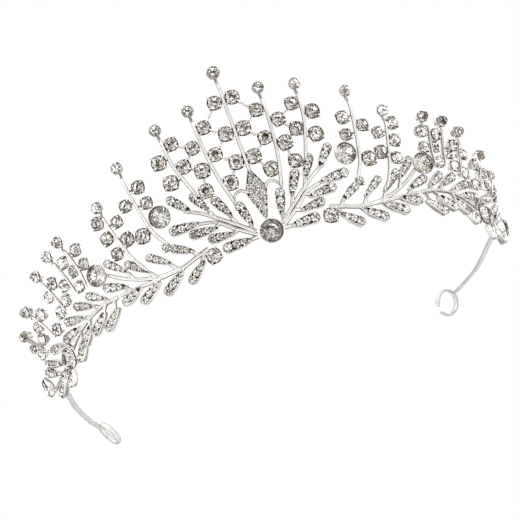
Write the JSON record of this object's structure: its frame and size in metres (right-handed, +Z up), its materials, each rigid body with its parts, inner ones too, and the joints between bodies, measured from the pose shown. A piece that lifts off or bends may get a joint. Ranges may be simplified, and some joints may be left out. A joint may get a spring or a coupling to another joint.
{
  "type": "bridal tiara",
  "caption": "Flared bridal tiara of stone-set leaf sprays, a stone lattice and bead-tipped spikes, with two slim bendable arms ending in hairpin loops.",
  "frame": {"origin": "middle of the tiara's bounding box in plan, on the surface that it stands on; the lowest leaf tips of the front and side sprays touch that surface", "axes": "+Z up, +X towards the right-hand side seen from the front (the wearer's left), -Y towards the front, the way the centre stone faces"},
  "size_m": [0.1486, 0.1212, 0.0516],
  "materials": {
    "silver_plate": "bright rhodium-silver plate over cast alloy, slightly textured",
    "crystal": "clear cut rhinestone, foil-backed",
    "arm_strip": "bright silver-plated narrow flat strip with fine drawn lines"
  },
  "bodies": {
    "crown": {"centre_setting": "silver_plate", "centre_leaf": "silver_plate", "centre_spike": "silver_plate", "centre_lattice": "silver_plate", "left_lattice": "silver_plate", "left_inner_branch": "silver_plate", "left_middle_branch": "silver_plate", "left_outer_branch": "silver_plate", "left_spike_1": "silver_plate", "left_spike_2": "silver_plate", "left_spike_3": "silver_plate", "left_spike_4": "silver_plate", "left_spike_5": "silver_plate", "left_spike_6": "silver_plate", "left_spike_7": "silver_plate", "left_spike_8": "silver_plate", "left_spike_9": "silver_plate", "right_lattice": "silver_plate", "right_inner_branch": "silver_plate", "right_middle_branch": "silver_plate", "right_outer_branch": "silver_plate", "right_spike_1": "silver_plate", "right_spike_2": "silver_plate", "right_spike_3": "silver_plate", "right_spike_4": "silver_plate", "right_spike_5": "silver_plate", "right_spike_6": "silver_plate", "right_spike_7": "silver_plate", "right_spike_8": "silver_plate", "right_spike_9": "silver_plate", "centre_stone": "crystal", "centre_tip_stone": "crystal", "left_tip_stone_1": "crystal", "left_tip_stone_2": "crystal", "left_tip_stone_3": "crystal", "left_tip_stone_4": "crystal", "left_tip_stone_5": "crystal", "left_tip_stone_6": "crystal", "left_tip_stone_7": "crystal", "left_tip_stone_8": "crystal", "left_tip_stone_9": "crystal", "left_side_stone_1": "crystal", "left_side_stone_2": "crystal", "left_side_stone_3": "crystal", "left_end_stone": "crystal", "right_tip_stone_1": "crystal", "right_tip_stone_2": "crystal", "right_tip_stone_3": "crystal", "right_tip_stone_4": "crystal", "right_tip_stone_5": "crystal", "right_tip_stone_6": "crystal", "right_tip_stone_7": "crystal", "right_tip_stone_8": "crystal", "right_tip_stone_9": "crystal", "right_side_stone_1": "crystal", "right_side_stone_2": "crystal", "right_side_stone_3": "crystal", "right_end_stone": "crystal"},
    "left_arm": {"left_arm": "arm_strip"},
    "right_arm": {"right_arm": "arm_strip"}
  },
  "joints": [
    {"name": "left_arm_bend", "type": "hinge", "parent": "crown", "child": "left_arm", "pos_m": [-0.0662, 0.00287, 0.00653], "axis": [0, 0, 1], "range_deg": [-6, 8], "stiffness_Nm_per_rad": 0.05},
    {"name": "right_arm_bend", "type": "hinge", "parent": "crown", "child": "right_arm", "pos_m": [0.0662, 0.00287, 0.00653], "axis": [0, 0, -1], "range_deg": [-6, 8], "stiffness_Nm_per_rad": 0.05}
  ]
}
